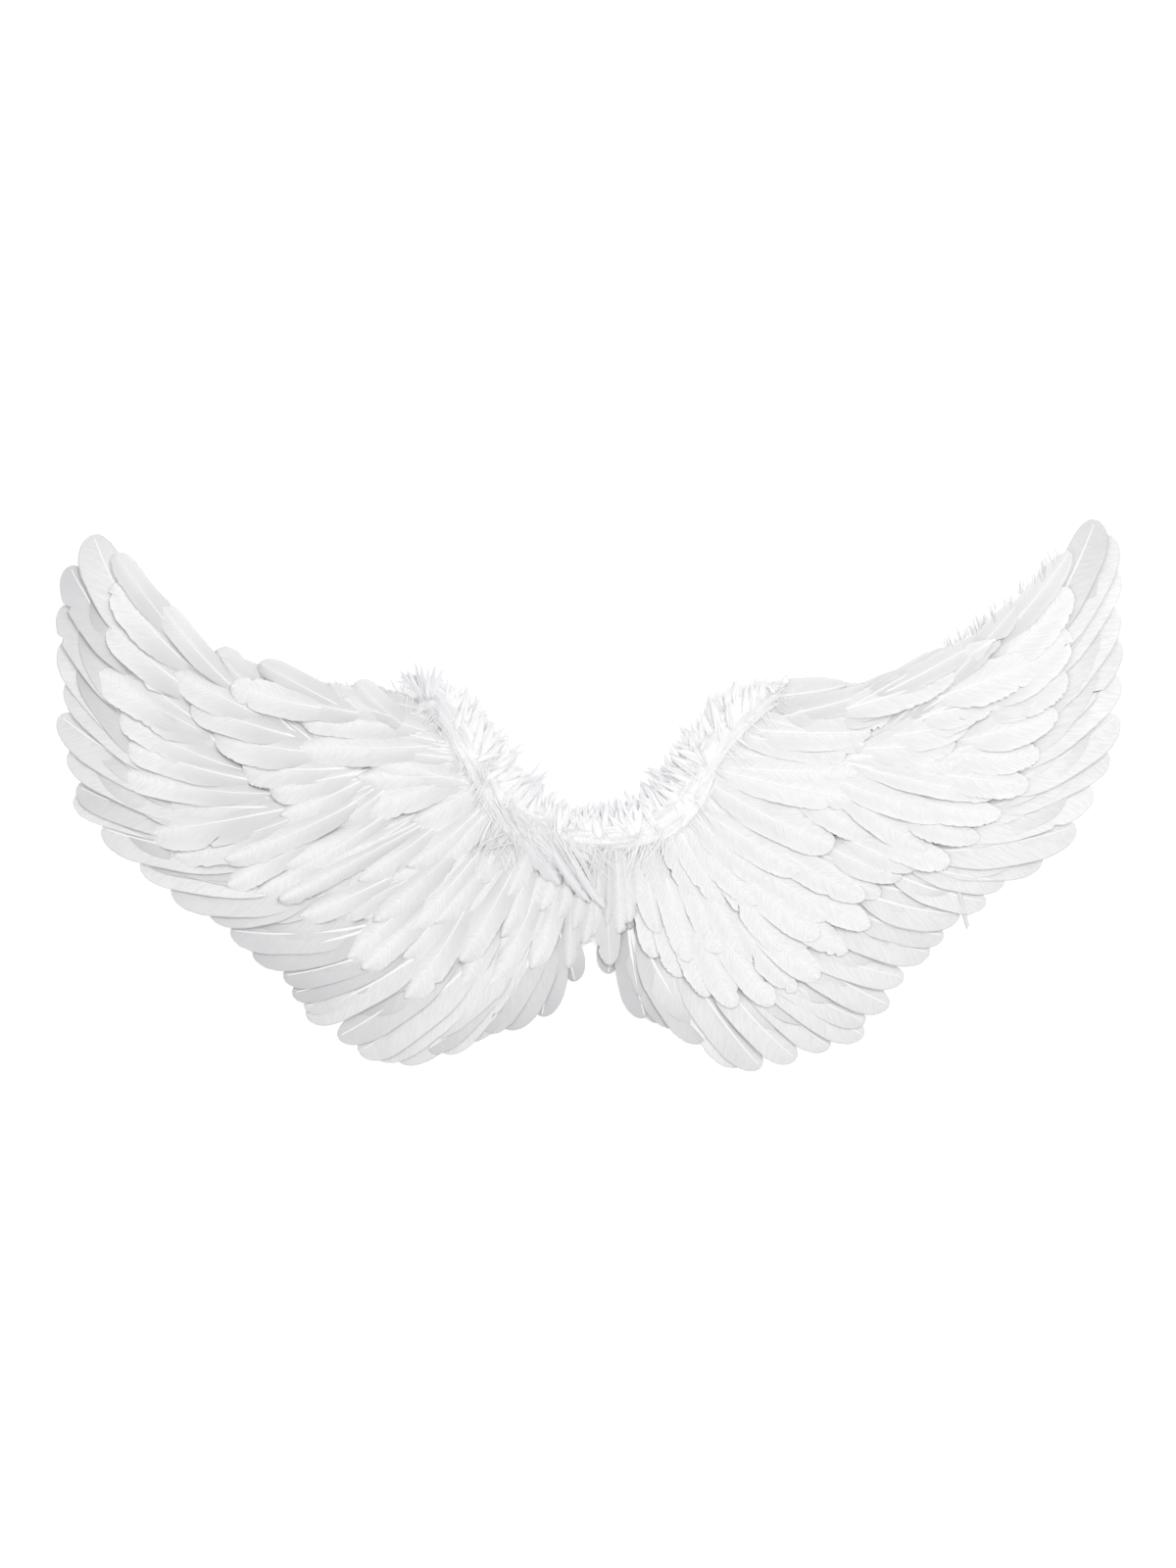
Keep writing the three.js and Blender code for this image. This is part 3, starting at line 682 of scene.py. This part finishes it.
# Soft bodies of the same locks: ovals carried along the guide, fullest a third of the way along, ending
# in a point
def lockBodies(path, locks, look):
    start, reach, bend, tone = locks
    count, stations, sides = len(start), look["stations"], look["sides"]
    t = np.linspace(0, 1, stations)[None, :, None]
    middle = beside(path, start[:, None] + reach[:, None] * t + bend[:, None] * t**2)
    ahead = unit(np.gradient(middle, axis=1))
    level = unit(np.cross(np.array([0, 0, 1.0]), ahead))
    upright = np.cross(ahead, level)
    angle = (np.arange(sides) * 2 * np.pi / sides)[None, None, :, None]
    swell = np.maximum(1.9 * t**0.5 * (1 - t) ** 0.9, 0.05)[..., None]
    size = rng.uniform(*lockForm["size"], (count, 1, 1, 1))
    points = (middle[:, :, None] + level[:, :, None] * np.cos(angle) * swell * size * look["wide"] / 2
              + upright[:, :, None] * np.sin(angle) * swell * size * look["high"] / 2)
    skin, caps = tubeFaces(stations, sides)
    each = stations * sides
    uv = np.stack(np.broadcast_arrays(0.6 * angle[..., 0] + 0 * t, 2 * t), axis=-1)
    uv = uv + rng.uniform(0, 9, (count, 1, 1, 2))
    tones = np.clip(tone[:, None, None] - look["fade"] * t + 0 * angle[..., 0], 0, 1)
    return {"points": points.reshape(-1, 3), "uv": uv.reshape(-1, 2), "tone": tones.ravel(),
            "faces": [copies(skin, count, each), copies(caps, count, each)], "finish": 0}


trimStations = 72  # along each core of a trim


# Lumpy core of the trim: an oval carried along the path, thinning to its ends
def trimCore(path, half, high, middle, offset, tone):
    stations, sides = trimStations, 18
    line = curveThrough(path, stations)
    heading = unit(np.gradient(line, axis=0))
    out = np.stack([-heading[:, 1], heading[:, 0]], axis=1)
    u = np.linspace(0, 1, stations)[:, None]
    w = (np.arange(sides) * 2 * np.pi / sides)[None, :]
    lump = 1 + 0.06 * np.sin(31 * u + 2 * w) + 0.05 * np.sin(67 * u - 3 * w)
    thin = np.maximum(np.sqrt(np.clip(1 - (2 * u - 1) ** 6, 0, 1)), 0.05) * lump
    sideways = np.reshape(offset, (-1, 1)) + np.reshape(half, (-1, 1)) * np.cos(w) * thin
    flat = line[:, None, :] + out[:, None, :] * sideways[..., None]
    points = np.concatenate([flat, (middle + high * np.sin(w) * thin)[..., None]], axis=-1)
    return {"points": points.reshape(-1, 3), "faces": list(tubeFaces(stations, sides)),
            "uv": np.stack(np.broadcast_arrays(w * 0.6, u * 5), axis=-1).reshape(-1, 2),
            "tone": np.full(stations * sides, tone), "finish": 0}


# Down trim: silky locks along the band, a spiky fringe on the neck's side, soft wisps over the wing's side,
# locks that hang over the middle and fuzz. Ranges of reach and bend are along the path, out and up,
# and those of place are out and up.
trimLook = {
    "half": 8.8, "high": 5.4, "middle": 11.0, "tone": 0.95,
    # the fringe's core is greyer than the band: painted shade under the fringe
    "fringeCore": {"half": 0.25, "offset": 0.4, "high": 4.0, "middle": 8.0, "tone": 0.8},
    "silky": {
        "count": 40, "strands": 24, "rings": 9, "spread": (3.0, 1.5, 0.6), "thick": (0.14, 0.3), "loose": 0.5,
        "fade": 0, "wide": 6.5, "high": 1.6, "stations": 16, "sides": 8, "onBand": (0.9, 26),
        "long": (34, 66), "stray": 0.5, "bend": ((-2, 2), (-3, 3), (-1, 0.5)),
        "tone": {"left": (0.55, 1), "right": (0.8, 1)},
    },
    # the fringe is in painted shade: greyer the further out a lock starts (darken) and towards its tips
    # (fade)
    "fringe": {
        "count": 240, "strands": 5, "rings": 7, "spread": (2.0, 1.4, 0.9), "thick": (0.24, 0.42),
        "loose": 0.25, "fade": 0.35, "wide": 5.2, "high": 1.4, "stations": 8, "sides": 6,
        "vary": (0.7, 1.12), "rootShare": 0.6, "height": 16.5, "slope": 0.4, "deep": 3, "long": (10, 20),
        "stray": 0.25, "rise": (-4, 1), "bend": ((-4, 4), (-1, 1), (-2, 2)), "tone": 1.1, "darken": 0.02,
    },
    "wisps": {
        "count": {"left": 42, "right": 20}, "strands": 8, "rings": 6, "spread": (1.6, 1.1, 0.4),
        "thick": (0.14, 0.26), "loose": 0.6, "fade": 0, "place": ((-8, -3), (15, 17)),
        "reach": ((-2, 10), (-20, -6), (-1, 1.5)), "bend": ((-3, 3), (-3, 1), (-1, 0)), "tone": (0.85, 1),
    },
    "hanging": {
        "count": {"left": 24, "right": 7}, "strands": 16, "rings": 8, "spread": (3.0, 3.0, 0.6),
        "thick": (0.16, 0.3), "loose": 0.7, "fade": 0, "fromEnd": (72, 4), "place": ((-6, -1), (15.5, 17.5)),
        "reach": ((6, 26), (-30, -10), (-3, -1)), "bend": ((-3, 3), (-3, 3), (-2, 0)), "tone": (0.9, 1),
    },
    "fuzz": {
        "count": 40, "strands": 10, "rings": 5, "spread": (2.4, 2.2, 0.9), "thick": (0.08, 0.16),
        "loose": 0.4, "fade": 0, "onBand": (0.95, 10), "reach": ((-5, 5), (-3, 3), (2, 6)),
        "bend": ((-3, 3), (-3, 3), (-3, 0)), "tone": (0.85, 1),
    },
    "fringeReach": {  # by share of the path, in mm
        "left": [(0, 2), (0.06, 5), (0.11, 12), (0.26, 18), (0.42, 22), (0.57, 27), (0.72, 24), (0.88, 16),
                 (1, 16)],
        "right": [(0, 2), (0.05, 5), (0.14, 15), (0.32, 20), (0.54, 26), (0.7, 25), (0.88, 17), (1, 16)],
    },
    # along the path for each mm outward
    "fringeLean": [(0, -0.7), (0.3, -0.5), (0.5, 0), (0.75, -0.1), (1, 0.35)],
}
trimPaths = {
    "left": [(-99, 93), (-94, 91), (-87, 86), (-77, 74), (-66, 58), (-57, 42), (-50, 28), (-40, 18),
             (-25, 12), (-10, 9), (4, 9)],
    "right": [(-108, 94), (-103, 90), (-96, 85), (-86, 77), (-74, 64), (-65, 50), (-59, 36), (-48, 21),
              (-33, 12.5), (-15, 9.5), (4, 9)],
}
# tall tuft at the left band's end, its locks fanned out on a short path
tallTuft = {
    "path": [(-108, 88), (-80, 88)], "count": 7, "strands": 3, "rings": 7, "spread": (0.5, 0.5, 0.5),
    "thick": (0.3, 0.5), "loose": 0.4, "fade": 0.1, "wide": 4.2, "high": 1.2, "stations": 9, "sides": 6,
    "at": 16, "apart": 3, "place": ((-2, 0), (17.3, 18.3)), "lean": -3, "fanned": 9, "tall": 21, "drop": 5,
    "vary": ((-2, 1), (-1, 1)), "bend": ((-1, 1), (-1, 1), (-2, 1)), "tone": (0.35, 0.6),
}
# small quills that lie tangled beside the left band: start, heading in degrees and length
tangled = [(-44, 12, 17.5, 232, 16), (-48, 11, 18.0, 205, 15), (-52, 13, 17.2, 248, 15),
           (-43, 6, 18.0, 196, 14), (-55, 9, 17.4, 222, 14), (-47, 5, 18.2, 240, 12)]
tangledDrop = 1.5

# Soft plumes that leave the left band and lie over the middle: root x and y, tip x and y, width
plumes = [(-60, 48, -51, 13, 8), (-54, 30, -37, -3, 10), (-50, 25, -27, -9, 10), (-45, 21, -16, -18, 10),
          (-40, 18, -5, -13, 10), (-33, 15, 4, -5, 10), (-24, 12, 1, -28, 6), (-14, 10, 9, -31, 5)]
plumeStrands = {
    "path": [(-60, 0), (40, 0)], "strands": 34, "rings": 7, "spread": (3.4, 3.4, 0.6), "thick": (0.16, 0.3),
    "loose": 0.75, "fade": 0, "height": 17.4, "fall": 2.0, "bend": ((-3, 3), (-3, 3), (-1, 0)),
    "tone": (0.6, 1),
}
plumeShape = {
    **covertShape, "levels": (14.0, 16.6, 14.6), "tipRound": (1.0, 2.0), "tipFull": 1.9, "bow": (-0.08, 0.1),
    "roll": (2, 6), "camber": (1.0, 2.2), "curl": (-1.5, 0), "ragged": 0.2, "slits": 1.0, "slitDepth": 0.75,
    "tone": (0.35, 0.6), "edgeShade": 0.15, "rootShade": 0, "midShade": 0.15, "widen": 1, "tuck": 0,
    "shaft": (0.1, 0.25),
}


# One column of numbers for each range, as many as there are locks
def draw(count, *ranges):
    return np.stack([rng.uniform(low, high, count) for low, high in ranges], axis=1)


# Reach, bend and tone of the locks, drawn in that order
def drawLocks(count, look):
    return draw(count, *look["reach"]), draw(count, *look["bend"]), rng.uniform(*look["tone"], count)


# What only the left trim has: plumes under loose strands, the tall tuft and the tangled quills
def leftExtras():
    rootX, rootY, tipX, tipY, wide = np.array(plumes, float).T
    chart = np.stack([tipX, tipY, 0 * wide, wide, 1 + 0 * wide], axis=1)
    surfaces = featherFan(np.stack([rootX, rootY], axis=1), chart, plumeShape)
    look = plumeStrands
    count = len(plumes)
    start = np.stack([rootX - look["path"][0][0], rootY, np.full(count, look["height"])], axis=1)
    reach = np.stack([tipX - rootX, tipY - rootY, np.full(count, -look["fall"])], axis=1)
    soft = (start, reach, draw(count, *look["bend"]), rng.uniform(*look["tone"], count))
    surfaces.append(lockStrands(look["path"], soft, look))

    look = tallTuft
    count = look["count"]
    fan = np.linspace(-1, 1, count)
    along = look["at"] + look["apart"] * fan
    start = np.concatenate([along[:, None], draw(count, *look["place"])], axis=1)
    vary = draw(count, *look["vary"])
    tall = look["tall"] - look["drop"] * fan**2 + vary[:, 0]
    reach = np.stack([look["lean"] + look["fanned"] * fan, tall, vary[:, 1]], axis=1)
    tuft = (start, reach, draw(count, *look["bend"]), rng.uniform(*look["tone"], count))
    surfaces += [lockStrands(look["path"], tuft, look), lockBodies(look["path"], tuft, look)]

    x, y, z, heading, long = np.array(tangled).T
    heading = np.radians(heading)
    ends = np.stack([x + long * np.cos(heading), y + long * np.sin(heading), z - tangledDrop], axis=1)
    surfaces.append(bareQuills(np.stack([x, y, z], axis=1), ends, radius=0.7, slant=0.4, tone=0.6))
    return surfaces


# The trim of one wing. On its band w runs from -1 to 1 across, and crest(w) is the height of the core's top.
def downTrim(word, side, look):
    path = trimPaths[word]
    length = pathLength(path)

    def crest(w):
        return look["middle"] + look["high"] * np.sqrt(np.clip(1 - w**2, 0, 1))

    def onBand(count, spread, last):
        w = rng.uniform(-spread, spread, count)
        return w, np.stack([rng.uniform(-8, length - last, count), look["half"] * w, crest(w)], axis=1)

    own = look["silky"]
    count = own["count"]
    w, start = onBand(count, *own["onBand"])
    end = np.clip(w + rng.normal(0, own["stray"], count), -1.1, 1.0)
    long = rng.uniform(*own["long"], count)
    reach = np.stack([long, look["half"] * (end - w), crest(end) - crest(w)], axis=1)
    silky = (start, reach, draw(count, *own["bend"]), rng.uniform(*own["tone"][word], count))

    own = look["fuzz"]
    fuzz = (onBand(own["count"], *own["onBand"])[1], *drawLocks(own["count"], own))

    own = look["fringe"]
    count = own["count"]
    shares = np.linspace(0, 1, trimStations)
    edge = np.interp(shares, *np.array(look["fringeReach"][word]).T)  # how far the fringe stands out
    start = draw(count, (-4, length + 2), (0, 1), (0, 1))
    share = np.clip(start[:, 0] / length, 0, 1)
    far = np.interp(share, shares, edge) * rng.uniform(*own["vary"], count)
    start[:, 1] = -1 + start[:, 1] * (own["rootShare"] * far)
    start[:, 2] = own["height"] - own["slope"] * start[:, 1] + own["deep"] * (start[:, 2] - 0.7)
    out = np.minimum(1.15 * far - start[:, 1], rng.uniform(*own["long"], count))
    lean = np.interp(share, *np.array(look["fringeLean"]).T) + rng.normal(0, own["stray"], count)
    reach = np.stack([lean * out, out, rng.uniform(*own["rise"], count)], axis=1)
    # painted shade: locks that start further out, where the fringe lies lower, are greyer
    tone = np.clip(own["tone"] - own["darken"] * start[:, 1], 0, 1)
    fringe = (start, reach, draw(count, *own["bend"]), tone)

    own = look["hanging"]
    count = own["count"][word]
    far, close = own["fromEnd"]
    hanging = (draw(count, (length - far, length - close), *own["place"]), *drawLocks(count, own))

    own = look["wisps"]
    count = own["count"][word]
    wisps = (draw(count, (0, length), *own["place"]), *drawLocks(count, own))

    own = look["fringeCore"]  # half width and offset are shares of how far the fringe stands out
    surfaces = [trimCore(path, look["half"], look["high"], look["middle"], 0, look["tone"]),
                trimCore(path, own["half"] * edge, own["high"], own["middle"], own["offset"] * edge,
                         own["tone"])]
    kinds = {"fuzz": fuzz, "wisps": wisps, "silky": silky, "fringe": fringe, "hanging": hanging}
    for kind, locks in kinds.items():
        surfaces.append(lockStrands(path, locks, look[kind]))
        if "wide" in look[kind]:
            surfaces.append(lockBodies(path, locks, look[kind]))
    if word == "left":
        surfaces += leftExtras()
    piece = makePiece(f"{word}_down_trim", surfaces, [downFluff, quillIvory], side)
    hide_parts(f"{word}_down_trim")


downTrim("left", 1, trimLook)
downTrim("right", -1, trimLook)

# Fine tufts that stand out over the top edge of the coverts
edgeLook = {
    "count": 60, "strands": 3, "rings": 5, "spread": (0.8, 0.6, 0.6), "thick": (0.22, 0.36), "loose": 0.4,
    "fade": 0, "height": {"left": (9.0, 9.5), "right": (5.2, 10.0)},  # from the path's start to its end
    "place": ((-8, -3), (-1, 1)), "reach": ((-9, -3), (8, 13), (0, 2)),
    "bend": ((-2, 2), (-1, 1), (-2, 1)), "tone": (0.3, 0.6),
}
edgePaths = {
    "left": [(-158, 96), (-140, 93), (-120, 92), (-104, 91)],
    "right": [(-265, 170), (-252, 158), (-240, 149), (-229, 139), (-217, 129), (-199, 115)],
}


# Tufts of one wing's edge, each as high as the edge is where it starts
def edgeDown(word, side, look):
    path = edgePaths[word]
    length = pathLength(path)
    start = draw(look["count"], (0, length), *look["place"])
    start[:, 2] += np.interp(start[:, 0], (0, length), look["height"][word])
    locks = (start, *drawLocks(look["count"], look))
    piece = makePiece(f"{word}_edge_down", [lockStrands(path, locks, look)], [downFluff], side)


edgeDown("left", 1, edgeLook)
edgeDown("right", -1, edgeLook)
print("down done")

# Camera straight above the wings, as they lie
view = {"x": -0.56, "y": 38.96, "height": 2108, "lens": 85, "sensor": 36}
camera = bpy.data.objects.new("camera", bpy.data.cameras.new("camera"))
camera.data.sensor_fit = "VERTICAL"
camera.data.sensor_height = view["sensor"]
camera.data.lens = view["lens"]
camera.location = Vector((view["x"], view["y"], view["height"])) * mm
bpy.context.collection.objects.link(camera)
bpy.context.scene.camera = camera

# Pale floor and soft light
studio = {"floor": 40.0, "floorDrop": 0.3, "floorColour": (0.9, 0.9, 0.9), "floorGlow": 0.4, "world": 0.6,
          "lampSize": 1.4, "key": (0.6, 0.7, 2.0), "keyPower": 22, "fill": (-1.2, -0.6, 1.6), "fillPower": 5}
floorMesh = bpy.data.meshes.new("floor")
reach = studio["floor"] / 2
corners = [(-reach, -reach, 0), (reach, -reach, 0), (reach, reach, 0), (-reach, reach, 0)]
floorMesh.from_pydata(corners, [], [(0, 1, 2, 3)])
floor = bpy.data.objects.new("floor", floorMesh)
floor.location.z = -studio["floorDrop"] * mm
bpy.context.collection.objects.link(floor)
floorPaint, floorShader = newMaterial("pale floor", 0.9, 0)
floorShader.inputs["Base Color"].default_value = (*studio["floorColour"], 1)
floorShader.inputs["Emission Color"].default_value = (1, 1, 1, 1)
floorShader.inputs["Emission Strength"].default_value = studio["floorGlow"]
floorMesh.materials.append(floorPaint)

world = bpy.data.worlds.new("studio")
world.use_nodes = True
world.node_tree.nodes["Background"].inputs["Color"].default_value = (1, 1, 1, 1)
world.node_tree.nodes["Background"].inputs["Strength"].default_value = studio["world"]
bpy.context.scene.world = world
for name in ("key", "fill"):
    lamp = bpy.data.objects.new(name, bpy.data.lights.new(name, "AREA"))
    lamp.data.size = studio["lampSize"]
    lamp.data.energy = studio[name + "Power"]
    lamp.location = studio[name]
    lamp.rotation_euler = (-lamp.location).to_track_quat("-Z", "Y").to_euler()
    bpy.context.collection.objects.link(lamp)
bpy.context.scene.view_settings.view_transform = "Standard"
print("camera and light done")
